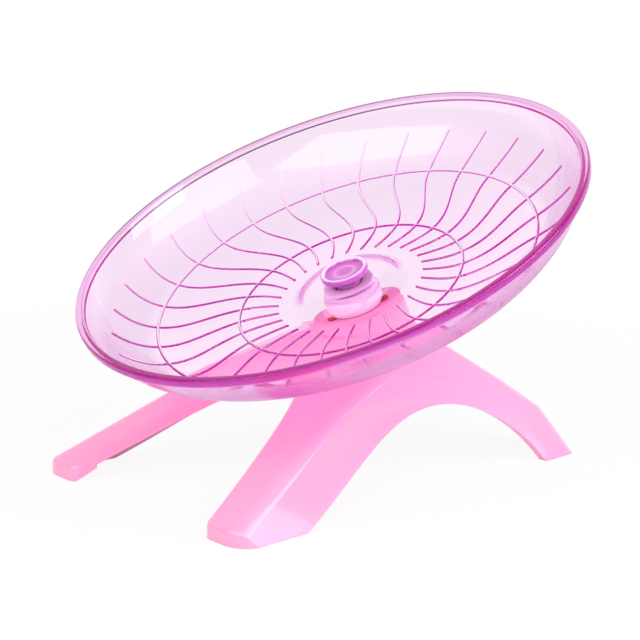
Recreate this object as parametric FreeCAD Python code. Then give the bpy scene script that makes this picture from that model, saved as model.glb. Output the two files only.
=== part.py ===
"""Saucer exercise wheel: a tilted, ribbed running dish that spins on a four-legged stand.

Millimetres, +Z up. The origin is on the ground, straight below the centre of the dish's rim.
The dish and hub are drawn in the hub's own frame, where z runs along the spin axis and the
rim plane is z = 0, and are then tilted into place. The stand is drawn where it stands.
"""
import FreeCAD, Part
import math
import os

V = FreeCAD.Vector

# Running dish
rim_radius = 90.0
rim_height = 83.7
tilt_deg = 25.4
dish_wall = 2.0
bowl_depth = 26.4
floor_flat_radius = 33.8
floor_sweep_radius = 95.2
knee_radius = 67.6
bead_height = 3.0
bead_width = 2.6
bead_round = 0.8

# Raised crown in the middle of the dish
crown_rise = 4.4
crown_radius = 15.4
crown_foot_radius = 19.8
crown_round = 6.0
crown_foot_round = 6.0
boss_radius = 4.9
boss_length = 2.2

# Tread ribs: wavy ones that run outwards, and two rings
rib_count = 30
rib_width = 0.9
rib_height = 0.5
rib_inner_radius = 26.3
rib_back_radius = 38.0
rib_front_radius = 66.0
rib_outer_radius = 80.6
rib_phase_deg = 1.35
rib_root_deg = 4.7
rib_swing_deg = 9.5
rib_tail_deg = 3.3
ring_rib_radii = (40.0, 67.6)
ring_rib_width = 0.8
ring_rib_height = 0.3
rib_root_depth = 0.3

# Hub cap and its stem
stem_radius = 4.0
neck_radius = 5.0
neck_height = 1.2
cap_radius = 8.35
cap_height = 2.2
cap_round = 0.5
cap_lip = 1.1
cap_recess = 0.9
cap_sag = 0.3
pip_radius = 0.6
pip_height = 0.45

# Ball bearings, two alike
bearing_radius = 7.0
bearing_width = 4.0
ball_radius = 0.9
ball_count = 9
inner_land_radius = 4.95
outer_land_radius = 6.05
cage_thickness = 0.6
cage_back = 0.45
cage_skirt = 0.4
shield_thickness = 0.2
shield_inset = 0.1

# Bearing housing, the pale drum under the crown
drum_radius = 10.2
drum_round = 0.6
drum_neck_radius = 9.2
drum_neck_height = 2.4
drum_foot_height = 0.7
groove_radius = 9.5
groove_width = 0.45
spigot_radius = 8.4
spigot_length = 6.9
shoulder_bore_radius = 5.6
spacer_radius = 4.8
seat_ring_radius = 9.95
seat_ring_width = 0.4
stud_radius = 1.5
stud_reach = 10.6
stud_deg = 59.0
drum_gap = 1.2
pad_gap = 12.3

# Fastenings under the pad
nut_across_flats = 23.0
nut_height = 2.6
nut_room = 0.6
washer_radius = 4.7
washer_thickness = 0.8
screw_radius = 1.45
screw_length = 11.0
screw_head_radius = 3.0
screw_head_height = 2.0
screw_slot_length = 3.6
screw_slot_width = 0.8
screw_slot_depth = 0.8

# Stand
stand_wall = 3.0
pad_radius = 16.4
pad_rise = 1.0
boss_end = -75.0
toe_height = 4.75
toe_land = 8.0
toe_land_inside = 41.0
toe_lip = 0.9
toe_ramp_deg = 30.0
toe_round = 9.0
toe_inner_round = 3.8
lip_round = 2.2
heel_reach = 77.5
heel_lean_deg = 62.0
rear_slope_deg = 37.6
rear_knee_height = 15.8
flank_reach = 50.6
flank_taper_deg = 2.3
flank_lean_deg = 28.8
shoulder_reach = 15.0
shoulder_fall_deg = 44.6
shoulder_turn_deg = 6.1
saddle_reach = 12.5
saddle_back = 15.5
saddle_fall_deg = 18.5
saddle_turn_deg = -12.9
fold_round = 6.0

# Arched openings between the legs
crotch_gap = 29.6
crotch_mouth = 38.1
crotch_middle = 25.2
side_arch_height = 25.0
front_foot_length = 26.8
front_haunch_run = 0.42
front_haunch_rise = 0.53
rear_foot_length = 16.8
rear_haunch_run = 0.7
rear_haunch_rise = 0.6
rear_arch_mouth = 29.0
rear_arch_middle = 20.0
rear_arch_height = 26.0

# Fits
press_gap = 0.01
race_gap = 0.02
pocket_gap = 0.08
shield_gap = 0.12
slide_gap = 0.1

# Levels along the spin axis, from the rim plane down
floor_level = -bowl_depth
crown_level = floor_level + crown_rise
crown_under = crown_level - dish_wall
boss_level = crown_under - boss_length
drum_top = crown_under - drum_gap
upper_bearing_top = boss_level
pad_level = crown_under - pad_gap
spigot_end = pad_level - spigot_length
lower_bearing_top = spigot_end + bearing_width + washer_thickness
upper_bearing_end = upper_bearing_top - bearing_width
lower_bearing_end = lower_bearing_top - bearing_width
washer_end = lower_bearing_end - washer_thickness
deck_level = pad_level - pad_rise
deck_under = deck_level - stand_wall

hub_frame = FreeCAD.Placement(V(0, 0, rim_height), FreeCAD.Rotation(V(1, 0, 0), tilt_deg))
far = 4 * rim_radius


# Turned shapes

def line(a, b):
    """Straight edge between two (radius, level) points of a turned profile."""
    return Part.makeLine(V(a[0], 0, a[1]), V(b[0], 0, b[1]))


def arc(a, middle, b):
    """Arc through three (radius, level) points of a turned profile."""
    return Part.Arc(V(a[0], 0, a[1]), V(middle[0], 0, middle[1]), V(b[0], 0, b[1])).toShape()


def turn(edges):
    """Solid of revolution of a closed profile about the spin axis."""
    return Part.Face(Part.Wire(edges)).revolve(V(0, 0, 0), V(0, 0, 1), 360)


def unit(a, b):
    """Unit step from one profile point towards another."""
    length = math.hypot(b[0] - a[0], b[1] - a[1])
    return (b[0] - a[0]) / length, (b[1] - a[1]) / length


def rounding(before, corner, after, radius):
    """Start, middle and end of the tangent arc that rounds a corner."""
    u = unit(corner, before)
    w = unit(corner, after)
    half = math.acos(u[0] * w[0] + u[1] * w[1]) / 2
    reach = radius / math.tan(half)
    depth = radius / math.sin(half) - radius
    inward = unit((0, 0), (u[0] + w[0], u[1] + w[1]))
    return ((corner[0] + u[0] * reach, corner[1] + u[1] * reach),
            (corner[0] + inward[0] * depth, corner[1] + inward[1] * depth),
            (corner[0] + w[0] * reach, corner[1] + w[1] * reach))


def turn_corners(*corners):
    """Turned solid from corners (radius, level), or (radius, level, rounding radius)."""
    edges = []
    count = len(corners)
    spans = []
    for i, corner in enumerate(corners):
        if len(corner) == 3:
            spans.append(rounding(corners[i - 1][:2], corner[:2], corners[(i + 1) % count][:2], corner[2]))
        else:
            spans.append((corner, corner))
    for i, span in enumerate(spans):
        if len(span) == 3:
            edges.append(arc(*span))
        edges.append(line(span[-1], spans[(i + 1) % count][0]))
    return turn(edges)


def ring(inner, outer, bottom, top):
    """Plain ring about the spin axis."""
    return turn_corners((inner, bottom), (outer, bottom), (outer, top), (inner, top))


def around(shape, count):
    """Copies of a shape, evenly spaced about the spin axis."""
    copies = []
    for i in range(count):
        copy = shape.copy()
        copy.rotate(V(0, 0, 0), V(0, 0, 1), 360.0 * i / count)
        copies.append(copy)
    return copies


# Running dish

class Bowl:
    """Bowl section: a flat floor, a wide sweep and a tighter side, joined as tangent arcs."""

    def __init__(self):
        self.lean = math.asin((knee_radius - floor_flat_radius) / floor_sweep_radius)
        self.sweep_centre = (floor_flat_radius, floor_level + floor_sweep_radius)
        knee = self.on_sweep(0, self.lean)
        mouth = (rim_radius - bead_width, 0)
        chord = math.hypot(mouth[0] - knee[0], mouth[1] - knee[1])
        half = math.atan2(mouth[1] - knee[1], mouth[0] - knee[0]) - self.lean
        self.side_radius = chord / (2 * math.sin(half))
        self.side_centre = (knee[0] - self.side_radius * math.sin(self.lean),
                            knee[1] + self.side_radius * math.cos(self.lean))

    def on_sweep(self, depth, lean):
        """Point on the wide sweep, depth below the running face."""
        radius = floor_sweep_radius + depth
        return (self.sweep_centre[0] + radius * math.sin(lean), self.sweep_centre[1] - radius * math.cos(lean))

    def on_side(self, depth, lean):
        """Point on the side, depth below the running face."""
        radius = self.side_radius + depth
        return (self.side_centre[0] + radius * math.sin(lean), self.side_centre[1] - radius * math.cos(lean))

    def lean_at_level(self, depth, level):
        """Lean of the side where it crosses a level."""
        return math.acos((self.side_centre[1] - level) / (self.side_radius + depth))

    def lean_at_radius(self, radius):
        """Lean of the running face at a radius on the side."""
        return math.asin((radius - self.side_centre[0]) / self.side_radius)

    def section(self, depth, start_radius, end_lean):
        """Floor, sweep and side edges at one depth, from start_radius outwards, and their ends."""
        start = (start_radius, floor_level - depth)
        flat = (floor_flat_radius, floor_level - depth)
        knee = self.on_sweep(depth, self.lean)
        end = self.on_side(depth, end_lean)
        edges = [line(start, flat), arc(flat, self.on_sweep(depth, self.lean / 2), knee),
                 arc(knee, self.on_side(depth, (self.lean + end_lean) / 2), end)]
        return edges, start, end

    def layer(self, low, high, start_radius, end_lean):
        """Solid layer that follows the running face between two depths."""
        below, below_start, below_end = self.section(low, start_radius, end_lean)
        above, above_start, above_end = self.section(high, start_radius, end_lean)
        edges = below + [line(below_end, above_end)] + above + [line(above_start, below_start)]
        return turn(Part.__sortEdges__(edges))


bowl = Bowl()


def dish_body():
    """Plain dish: bowl with a beaded rim, a raised crown and a centre boss that sits on the bearing."""
    bore = stem_radius + slide_gap
    slope = math.atan2(crown_rise, crown_foot_radius - crown_radius)
    shift = dish_wall / math.sin(slope) - dish_wall / math.tan(slope)
    crown = (crown_radius, crown_level)
    foot = (crown_foot_radius, floor_level)
    under_level = floor_level - dish_wall
    under_crown = (crown_radius - shift, crown_under)
    under_foot = (crown_foot_radius - shift, under_level)
    crown_arc = rounding((bore, crown_level), crown, foot, crown_round + dish_wall)
    foot_arc = rounding(crown, foot, (floor_flat_radius, floor_level), crown_foot_round)
    under_crown_arc = rounding((boss_radius, crown_under), under_crown, under_foot, crown_round)
    under_foot_arc = rounding(under_crown, under_foot, (floor_flat_radius, under_level),
                              crown_foot_round + dish_wall)
    inner, inner_start, mouth = bowl.section(0, foot_arc[2][0], bowl.lean_at_level(0, -bead_round))
    outer, outer_start, neck = bowl.section(dish_wall, under_foot_arc[2][0],
                                            bowl.lean_at_level(dish_wall, -bead_height))
    bead_inner = (mouth[0] + bead_round, 0)
    bead_crest = rounding(bead_inner, (rim_radius, 0), (rim_radius, -bead_height), bead_round)
    bead_under = rounding((rim_radius, 0), (rim_radius, -bead_height), neck, bead_round)
    bead_lip = rounding(mouth, (mouth[0], 0), (rim_radius, 0), bead_round)
    edges = [line((bore, crown_level), crown_arc[0]), arc(*crown_arc), line(crown_arc[2], foot_arc[0]),
             arc(*foot_arc)]
    edges += inner
    edges += [arc(*bead_lip), line(bead_lip[2], bead_crest[0]), arc(*bead_crest),
              line(bead_crest[2], bead_under[0]), arc(*bead_under), line(bead_under[2], neck)]
    edges += outer
    edges += [arc(*under_foot_arc), line(under_foot_arc[0], under_crown_arc[2]), arc(*under_crown_arc),
              line(under_crown_arc[0], (boss_radius, crown_under)),
              line((boss_radius, crown_under), (boss_radius, boss_level)),
              line((boss_radius, boss_level), (bore, boss_level)),
              line((bore, boss_level), (bore, crown_level))]
    return turn(Part.__sortEdges__(edges))


def rib_outline():
    """Flat outline of one wavy rib: it starts back, swings forward and trails off towards the rim."""
    middle_radius = (rib_back_radius + rib_front_radius) / 2
    stations = ((rib_inner_radius, rib_root_deg), (rib_back_radius, 0), (middle_radius, rib_swing_deg / 2),
                (rib_front_radius, rib_swing_deg), (rib_outer_radius, rib_swing_deg - rib_tail_deg))
    points = []
    for radius, degrees in stations:
        angle = math.radians(rib_phase_deg + degrees)
        points.append(V(radius * math.cos(angle), radius * math.sin(angle), 0))
    spine = Part.BSplineCurve()
    spine.interpolate(points)
    sides = ([], [])
    tangents = []
    for point in points:
        along = spine.tangent(spine.parameter(point))[0]
        across = V(-along.y, along.x, 0) * (rib_width / 2)
        sides[0].append(point + across)
        sides[1].append(point - across)
        tangents.append(along)
    edges = []
    for side in sides:
        curve = Part.BSplineCurve()
        curve.interpolate(side)
        edges.append(curve.toShape())
    for end, outwards in ((0, -1), (-1, 1)):
        tip = points[end] + tangents[end] * (outwards * rib_width / 2)
        edges.append(Part.Arc(sides[0][end], tip, sides[1][end]).toShape())
    return Part.Face(Part.Wire(Part.__sortEdges__(edges)))


def tread_ribs():
    """Raised ribs of the running face, each following the bowl at its own even height."""
    start = (crown_foot_radius + rib_inner_radius) / 2
    end_lean = bowl.lean_at_radius((rib_outer_radius + rim_radius - bead_width) / 2)
    strip = rib_outline().extrude(V(0, 0, bowl_depth + dish_wall))
    strip.translate(V(0, 0, -bowl_depth - dish_wall))
    strips = Part.makeCompound(around(strip, rib_count))
    ribs = bowl.layer(rib_root_depth, -rib_height, start, end_lean).common(strips)
    band = bowl.layer(rib_root_depth, -ring_rib_height, start, end_lean)
    rings = []
    for radius in ring_rib_radii:
        hoop = ring(radius - ring_rib_width / 2, radius + ring_rib_width / 2, -bowl_depth - dish_wall, 0)
        rings.append(band.common(hoop))
    return ribs.Solids + [solid for hoop in rings for solid in hoop.Solids]


def saucer():
    """Running dish in one moulding with its tread ribs."""
    return dish_body().fuse(tread_ribs())


# Hub

def hub_cap():
    """Cap with a dished top and a moulding pip, on a stem with a pilot hole for the screw."""
    cap_top = crown_level + neck_height + cap_height
    cap_under = crown_level + neck_height
    recess_level = cap_top - cap_recess
    recess_radius = cap_radius - cap_lip
    pip_top = recess_level - cap_sag + pip_height
    stem = stem_radius - press_gap
    stem_end = lower_bearing_end + slide_gap
    pilot = screw_radius + race_gap
    pilot_top = washer_end + screw_length + slide_gap
    return turn_corners((0, pilot_top), (pilot, pilot_top), (pilot, stem_end), (stem, stem_end),
                        (stem, crown_level), (neck_radius, crown_level), (neck_radius, cap_under),
                        (cap_radius, cap_under, cap_round), (cap_radius, cap_top, cap_round),
                        (recess_radius, cap_top), (recess_radius - cap_recess, recess_level, cap_round),
                        (pip_radius, recess_level - cap_sag), (pip_radius, pip_top), (0, pip_top))


def bearing(name, top):
    """Parts of one shielded ball bearing whose upper face is at a level."""
    middle = top - bearing_width / 2
    bottom = top - bearing_width
    pitch = (inner_land_radius + outer_land_radius) / 2
    race = Part.makeTorus(pitch, ball_radius + race_gap, V(0, 0, middle))
    ball = Part.makeSphere(ball_radius, V(pitch, 0, middle))
    pocket = Part.makeSphere(ball_radius + pocket_gap, V(pitch, 0, middle))
    cage_top = middle + ball_radius + pocket_gap + cage_back
    cage_ring = ring(pitch - cage_thickness / 2, pitch + cage_thickness / 2, middle - cage_skirt, cage_top)
    shield_top = top - shield_inset
    shield_bottom = bottom + shield_inset
    shield_rise = shield_bottom + shield_thickness
    shield_inner = inner_land_radius + shield_gap
    shield_outer = outer_land_radius - press_gap
    return {
        name + "_outer_ring": ring(outer_land_radius, bearing_radius, bottom, top).cut(race),
        name + "_inner_ring": ring(stem_radius, inner_land_radius, bottom, top).cut(race),
        name + "_cage": cage_ring.cut(Part.makeCompound(around(pocket, ball_count))),
        name + "_balls": Part.makeCompound(around(ball, ball_count)),
        name + "_top_shield": ring(shield_inner, shield_outer, shield_top - shield_thickness, shield_top),
        name + "_bottom_shield": ring(shield_inner, shield_outer, shield_bottom, shield_rise),
    }


def ring_studs(radius, lowest_deg):
    """Two balls on opposite sides of the seat ring, each from a lowest latitude up."""
    angle = math.radians(stud_deg)
    centre = V(stud_reach * math.cos(angle), stud_reach * math.sin(angle), pad_level + slide_gap)
    return around(Part.makeSphere(radius, centre, V(0, 0, 1), lowest_deg, 90, 360), 2)


def bearing_housing():
    """Pale drum that holds both bearings, with a grooved foot and a spigot through the pad."""
    seat = bearing_radius + press_gap
    foot_top = pad_level + drum_foot_height
    groove_top = foot_top + groove_width
    neck_level = drum_top - drum_neck_height
    drum = turn_corners((seat, spigot_end), (spigot_radius, spigot_end), (spigot_radius, pad_level),
                        (drum_radius, pad_level), (drum_radius, foot_top), (groove_radius, foot_top),
                        (groove_radius, groove_top), (drum_radius, groove_top),
                        (drum_radius, neck_level, drum_round), (drum_neck_radius, neck_level),
                        (drum_neck_radius, drum_top, drum_round), (seat, drum_top),
                        (seat, upper_bearing_end), (shoulder_bore_radius, upper_bearing_end),
                        (shoulder_bore_radius, lower_bearing_top), (seat, lower_bearing_top))
    return drum.cut(ring_studs(stud_radius + race_gap, -90))


def seat_ring():
    """Flat ring in the groove at the foot of the drum, with a domed stud on each side to pull it off by."""
    foot_top = pad_level + drum_foot_height
    band = ring(groove_radius + press_gap, seat_ring_radius, foot_top + press_gap, foot_top + seat_ring_width)
    return band.fuse(ring_studs(stud_radius, 0))


def bearing_spacer():
    """Sleeve between the inner rings."""
    return ring(stem_radius, spacer_radius, lower_bearing_top, upper_bearing_end)


def housing_nut():
    """Six-sided nut on the spigot, up against the underside of the deck."""
    corner = nut_across_flats / math.sqrt(3)
    corners = [V(corner * math.cos(math.radians(60 * i)), corner * math.sin(math.radians(60 * i)), 0)
               for i in range(6)]
    blank = Part.Face(Part.makePolygon(corners + corners[:1])).extrude(V(0, 0, nut_height))
    blank.translate(V(0, 0, deck_under - nut_height))
    return blank.cut(ring(0, spigot_radius + press_gap, deck_under - 2 * nut_height, deck_under + nut_height))


def screw_washer():
    """Washer that carries the lower inner ring."""
    return ring(screw_radius + slide_gap, washer_radius, washer_end, lower_bearing_end)


def retaining_screw():
    """Pan-head screw with a crossed slot, up into the stem."""
    head_end = washer_end - screw_head_height
    screw = turn_corners((0, head_end), (screw_head_radius, head_end, screw_head_height / 2),
                         (screw_head_radius, washer_end), (screw_radius, washer_end),
                         (screw_radius, washer_end + screw_length - screw_radius),
                         (0, washer_end + screw_length))
    slot = Part.makeBox(screw_slot_length, screw_slot_width, 2 * screw_slot_depth,
                        V(-screw_slot_length / 2, -screw_slot_width / 2, head_end - screw_slot_depth))
    return screw.cut(around(slot, 4)[:2])


# Stand

def above(point, normal):
    """Large block on the outer side of a plane."""
    block = Part.makeBox(far, far, far, V(-far / 2, -far / 2, 0))
    block.Placement = FreeCAD.Placement(point, FreeCAD.Rotation(V(0, 0, 1), normal))
    return block


def leaning(point, degrees):
    """Straight side of the stand's outline in YZ through a point, as an outward normal and its distance."""
    normal = V(0, math.sin(math.radians(degrees)), math.cos(math.radians(degrees)))
    return normal, normal.dot(point)


def meet(first, second, inset=0.0):
    """Corner where two straight sides cross, each moved inwards by inset."""
    (a, a_reach), (b, b_reach) = first, second
    scale = a.y * b.z - a.z * b.y
    return V(0, ((a_reach - inset) * b.z - (b_reach - inset) * a.z) / scale,
             (a.y * (b_reach - inset) - b.y * (a_reach - inset)) / scale)


pad_centre = hub_frame.multVec(V(0, 0, pad_level))
deck_line = leaning(hub_frame.multVec(V(0, 0, deck_level)), -tilt_deg)
toe_tip = meet(deck_line, leaning(V(0, 0, toe_height), 0))
heel_line = leaning(V(0, heel_reach, 0), heel_lean_deg)
rear_knee = meet(heel_line, leaning(V(0, 0, rear_knee_height), 0))
rear_line = leaning(rear_knee, rear_slope_deg)


def falling(side, fall_deg, turn_deg):
    """Outward normal of a facet that falls away to one side and is turned a little along Y."""
    fall = math.radians(fall_deg)
    normal = V(side * math.sin(fall), math.sin(math.radians(turn_deg)), math.cos(fall))
    return normal.normalize()


def tent(inset, toe_y, ground):
    """Block with a sloping deck, a folded back, leaning flanks and cut shoulders, all inset by one distance."""
    floor_line = leaning(V(0, 0, ground), 0)
    toe_top = meet(deck_line, (V(0, -1, 0), -toe_y + inset), inset)
    heel_foot = meet(heel_line, (floor_line[0], floor_line[1] + inset), inset)
    corners = [V(0, toe_y, ground), V(0, toe_y, toe_top.z), meet(deck_line, rear_line, inset),
               meet(rear_line, heel_line, inset), heel_foot]
    outline = Part.Face(Part.makePolygon(corners + corners[:1]))
    outline.translate(V(-far / 2, 0, 0))
    block = outline.extrude(V(far, 0, 0))
    flank = math.radians(flank_lean_deg)
    taper = math.radians(flank_taper_deg)
    for side in (1, -1):
        leg_side = V(side * math.cos(flank) * math.cos(taper), math.cos(flank) * math.sin(taper),
                     math.sin(flank))
        facets = ((V(side * flank_reach, 0, 0), leg_side),
                  (hub_frame.multVec(V(side * shoulder_reach, 0, deck_level)),
                   falling(side, shoulder_fall_deg, shoulder_turn_deg)),
                  (hub_frame.multVec(V(side * saddle_reach, -saddle_back, deck_level)),
                   falling(side, saddle_fall_deg, saddle_turn_deg)))
        for point, normal in facets:
            block = block.cut(above(point - normal * inset, normal))
    return block


def rounded_tent():
    """Outer form of the stand with its folds rounded."""
    block = tent(0, toe_tip.y, 0)
    folds = [edge for edge in block.Edges if edge.CenterOfMass.z > toe_tip.z + press_gap]
    return block.makeFillet(fold_round, folds)


def hollow():
    """Room under the deck, one wall in from the outer form: outer toes keep a sole, inner ones slope off."""
    room = tent(stand_wall, toe_tip.y + toe_land, -stand_wall)
    ramp = math.radians(toe_ramp_deg)
    behind = above(V(0, toe_tip.y + toe_lip, 0), V(0, math.sin(ramp), -math.cos(ramp)))
    middle = Part.makeBox(2 * toe_land_inside, far, far, V(-toe_land_inside, -far / 2, -far / 2))
    inner_toes = tent(stand_wall, toe_tip.y + press_gap, -stand_wall).common(middle).common(behind)
    return [room, inner_toes]


def arch(points, closing, sweep):
    """Prism of an arched outline: a smooth curve through points, closed by straight runs."""
    curve = Part.BSplineCurve()
    curve.interpolate(points)
    loop = [points[-1]] + closing + [points[0]]
    edges = [curve.toShape()] + [Part.makeLine(a, b) for a, b in zip(loop, loop[1:])]
    return Part.Face(Part.Wire(edges)).extrude(sweep)


def footprint():
    """Upright prism of the stand's plan, with the front gap and rounded toes."""
    crotch = pad_centre.y - crotch_gap
    front = toe_tip.y - toe_round
    middle = (crotch + front) / 2
    half = flank_reach - toe_tip.y * math.tan(math.radians(flank_taper_deg))
    block = Part.makeBox(2 * half, heel_reach - toe_tip.y, far, V(-half, toe_tip.y, -far / 2))
    gap = arch([V(-crotch_mouth, front, -far / 2), V(-crotch_middle, middle, -far / 2), V(0, crotch, -far / 2),
                V(crotch_middle, middle, -far / 2), V(crotch_mouth, front, -far / 2)], [], V(0, 0, far))
    block = block.cut(gap)
    for radius, outer in ((toe_round, True), (toe_inner_round, False)):
        corners = [edge for edge in block.Edges if edge.Length > far / 2 and edge.CenterOfMass.y < middle
                   and (abs(edge.CenterOfMass.x) > half - press_gap) == outer
                   and abs(edge.CenterOfMass.y - toe_tip.y) < press_gap]
        block = block.makeFillet(radius, corners)
    return block


def lip_edges(shell, plan):
    """Upper edges of the toes and of the front gap, where the form meets the walls of its plan."""
    walls = [face for face in plan.Faces if face.BoundBox.ZLength > far / 2]
    edges = []
    for edge in shell.Edges:
        if edge.Degenerated or edge.BoundBox.ZMin < toe_height / 2:
            continue
        middle = Part.Vertex(edge.valueAt(sum(edge.ParameterRange) / 2))
        if min(face.distToShape(middle)[0] for face in walls) < press_gap:
            edges.append(edge)
    return edges


def arches():
    """Arched gaps through both sides and between the rear legs."""
    spring_front = toe_tip.y + front_foot_length
    spring_rear = heel_reach - rear_foot_length
    crown = pad_centre.y
    front_haunch = spring_front + front_haunch_run * (crown - spring_front)
    rear_haunch = crown + rear_haunch_run * (spring_rear - crown)
    side_gap = arch([V(-far / 2, spring_front, 0),
                     V(-far / 2, front_haunch, front_haunch_rise * side_arch_height),
                     V(-far / 2, crown, side_arch_height),
                     V(-far / 2, rear_haunch, rear_haunch_rise * side_arch_height),
                     V(-far / 2, spring_rear, 0)],
                    [V(-far / 2, spring_rear, -stand_wall), V(-far / 2, spring_front, -stand_wall)],
                    V(far, 0, 0))
    rear_gap = arch([V(-rear_arch_mouth, crown, 0), V(-rear_arch_middle, crown, rear_arch_height / 2),
                     V(0, crown, rear_arch_height), V(rear_arch_middle, crown, rear_arch_height / 2),
                     V(rear_arch_mouth, crown, 0)],
                    [V(rear_arch_mouth, crown, -stand_wall), V(-rear_arch_mouth, crown, -stand_wall)],
                    V(0, far, 0))
    return [side_gap, rear_gap]


def stand():
    """Hollow four-legged stand with a rounded lip along the front gap and a round boss for the drum."""
    plan = footprint()
    shell = rounded_tent().common(plan)
    shell = shell.makeFillet(lip_round, lip_edges(shell, plan))
    boss = ring(0, pad_radius, boss_end, pad_level)
    pocket = ring(0, nut_across_flats / math.sqrt(3) + nut_room, boss_end, deck_under)
    hole = ring(0, spigot_radius + slide_gap, deck_under - stand_wall, pad_level + stand_wall)
    for part in (boss, pocket, hole):
        part.Placement = hub_frame
    return shell.fuse(boss).cut(hollow() + [pocket, hole] + arches()).removeSplitter()


def build():
    """Every piece by name, in place."""
    hub_parts = {"saucer": saucer(), "hub_cap": hub_cap(), "bearing_housing": bearing_housing(),
                 "seat_ring": seat_ring(), "bearing_spacer": bearing_spacer(), "housing_nut": housing_nut(),
                 "screw_washer": screw_washer(), "retaining_screw": retaining_screw()}
    hub_parts.update(bearing("upper", upper_bearing_top))
    hub_parts.update(bearing("lower", lower_bearing_top))
    for shape in hub_parts.values():
        shape.Placement = hub_frame
    return dict(hub_parts, stand=stand())


os.makedirs("parts", exist_ok=True)
for name, shape in build().items():
    shape.exportStep("parts/" + name + ".step")
    print(name, len(shape.Solids), "solid(s), volume", round(shape.Volume, 1), "valid", shape.isValid())
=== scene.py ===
"""Looks of a saucer exercise wheel: a clear ribbed dish on ball bearings over a glossy pink stand.

Sizes in the classes are millimetres in the part's own frame; meshes are written in metres.
Turned pieces are drawn in the hub's frame, whose z runs along the spin axis from the rim plane.
"""
import logging
import math
from dataclasses import dataclass
from enum import Enum

import bmesh
import bpy
import numpy as np
from mathutils import Matrix, Vector

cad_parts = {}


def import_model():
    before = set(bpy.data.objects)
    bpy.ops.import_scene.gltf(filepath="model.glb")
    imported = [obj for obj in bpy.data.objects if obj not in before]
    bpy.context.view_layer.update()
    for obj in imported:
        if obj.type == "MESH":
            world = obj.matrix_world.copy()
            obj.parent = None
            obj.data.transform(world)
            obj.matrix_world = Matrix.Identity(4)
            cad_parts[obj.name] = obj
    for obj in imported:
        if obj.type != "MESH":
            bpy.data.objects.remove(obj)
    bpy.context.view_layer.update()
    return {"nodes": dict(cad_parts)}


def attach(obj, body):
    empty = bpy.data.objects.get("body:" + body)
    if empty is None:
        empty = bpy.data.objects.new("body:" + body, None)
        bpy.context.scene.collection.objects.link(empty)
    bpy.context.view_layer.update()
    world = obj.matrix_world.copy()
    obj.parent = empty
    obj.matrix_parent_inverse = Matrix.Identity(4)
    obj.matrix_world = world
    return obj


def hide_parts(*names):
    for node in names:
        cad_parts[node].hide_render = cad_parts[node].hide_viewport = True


LOG = logging.getLogger("saucer_wheel")
MM = 0.001
TURN = 2 * math.pi
WHITE = (1.0, 1.0, 1.0)
Tone = tuple[float, float, float]
Point = tuple[float, float, float]


class Body(Enum):
    """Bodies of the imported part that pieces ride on."""

    STAND = "stand"
    SAUCER = "saucer"


class Slot(Enum):
    """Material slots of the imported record."""

    CLEAR = "clear_magenta"
    PINK = "pink_plastic"
    PALE = "pale_plastic"
    CRIMSON = "crimson_rubber"


class Ray(Enum):
    """Kinds of ray that see the plain white surroundings."""

    CAMERA = "Is Camera Ray"
    GLOSSY = "Is Glossy Ray"
    TRANSMISSION = "Is Transmission Ray"


# Points and meshes


def fillet(before: np.ndarray, corner: np.ndarray, after: np.ndarray, radius: float,
           steps: int) -> np.ndarray:
    """Points of the arc of a given radius that is tangent to both sides of a corner.

    The arc's centre lies on the corner's bisector at radius / sin(half the corner's angle), and the
    points are the centre plus the radius turned evenly from one tangent point to the other.

    Args:
        before, corner, after: (radius, level) points of a profile.
        radius: radius of the rounding.
        steps: number of points.

    Returns:
        Array of shape (steps, 2).
    """
    to_before = (before - corner) / np.linalg.norm(before - corner)
    to_after = (after - corner) / np.linalg.norm(after - corner)
    half = math.acos(float(np.clip(to_before @ to_after, -1, 1))) / 2
    bisector = (to_before + to_after) / np.linalg.norm(to_before + to_after)
    centre = corner + bisector * radius / math.sin(half)
    first = corner + to_before * radius / math.tan(half) - centre
    last = corner + to_after * radius / math.tan(half) - centre
    start = math.atan2(first[1], first[0])
    sweep = (math.atan2(last[1], last[0]) - start + math.pi) % TURN - math.pi
    angles = start + sweep * np.linspace(0, 1, steps)
    return centre + radius * np.stack([np.cos(angles), np.sin(angles)], 1)


def rounded_profile(corners: list[tuple[float, float, float]], steps: int = 6) -> np.ndarray:
    """Profile through (radius, level, rounding) corners, with tangent arcs where they ask for rounding."""
    points = np.array([corner[:2] for corner in corners], float)
    spans = []
    for i, corner in enumerate(corners):
        if corner[2] > 0:
            after = points[(i + 1) % len(points)]
            spans.append(fillet(points[i - 1], points[i], after, corner[2], steps))
        else:
            spans.append(points[i:i + 1])
    return np.concatenate(spans)


def turned_grid(profile: np.ndarray, columns: int) -> np.ndarray:
    """Profile carried round z: (radius, level) at angle a goes to (radius cos a, radius sin a, level)."""
    angle = np.linspace(0, TURN, columns, endpoint=False)[None, :]
    radius, level = profile[:, :1], profile[:, 1:]
    return np.stack([radius * np.cos(angle), radius * np.sin(angle), level + 0 * angle], -1)


def grid_faces(rows: int, columns: int, closed: bool) -> np.ndarray:
    """Quads of a grid whose columns wrap round, and whose rows wrap too where closed."""
    i, j = np.meshgrid(np.arange(rows if closed else rows - 1), np.arange(columns), indexing="ij")
    here, ahead, aside = i * columns, (i + 1) % rows * columns, (j + 1) % columns
    return np.stack([here + j, here + aside, ahead + aside, ahead + j], -1).reshape(-1, 4)


def pole_faces(row: int, columns: int, pole: int, flip: bool) -> np.ndarray:
    """Triangles that close an end row of a grid on a pole vertex, turned over where asked."""
    j = np.arange(columns)
    near, far = row * columns + j, row * columns + (j + 1) % columns
    edge = [far, near] if flip else [near, far]
    return np.stack([*edge, np.full(columns, pole)], -1)


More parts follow.
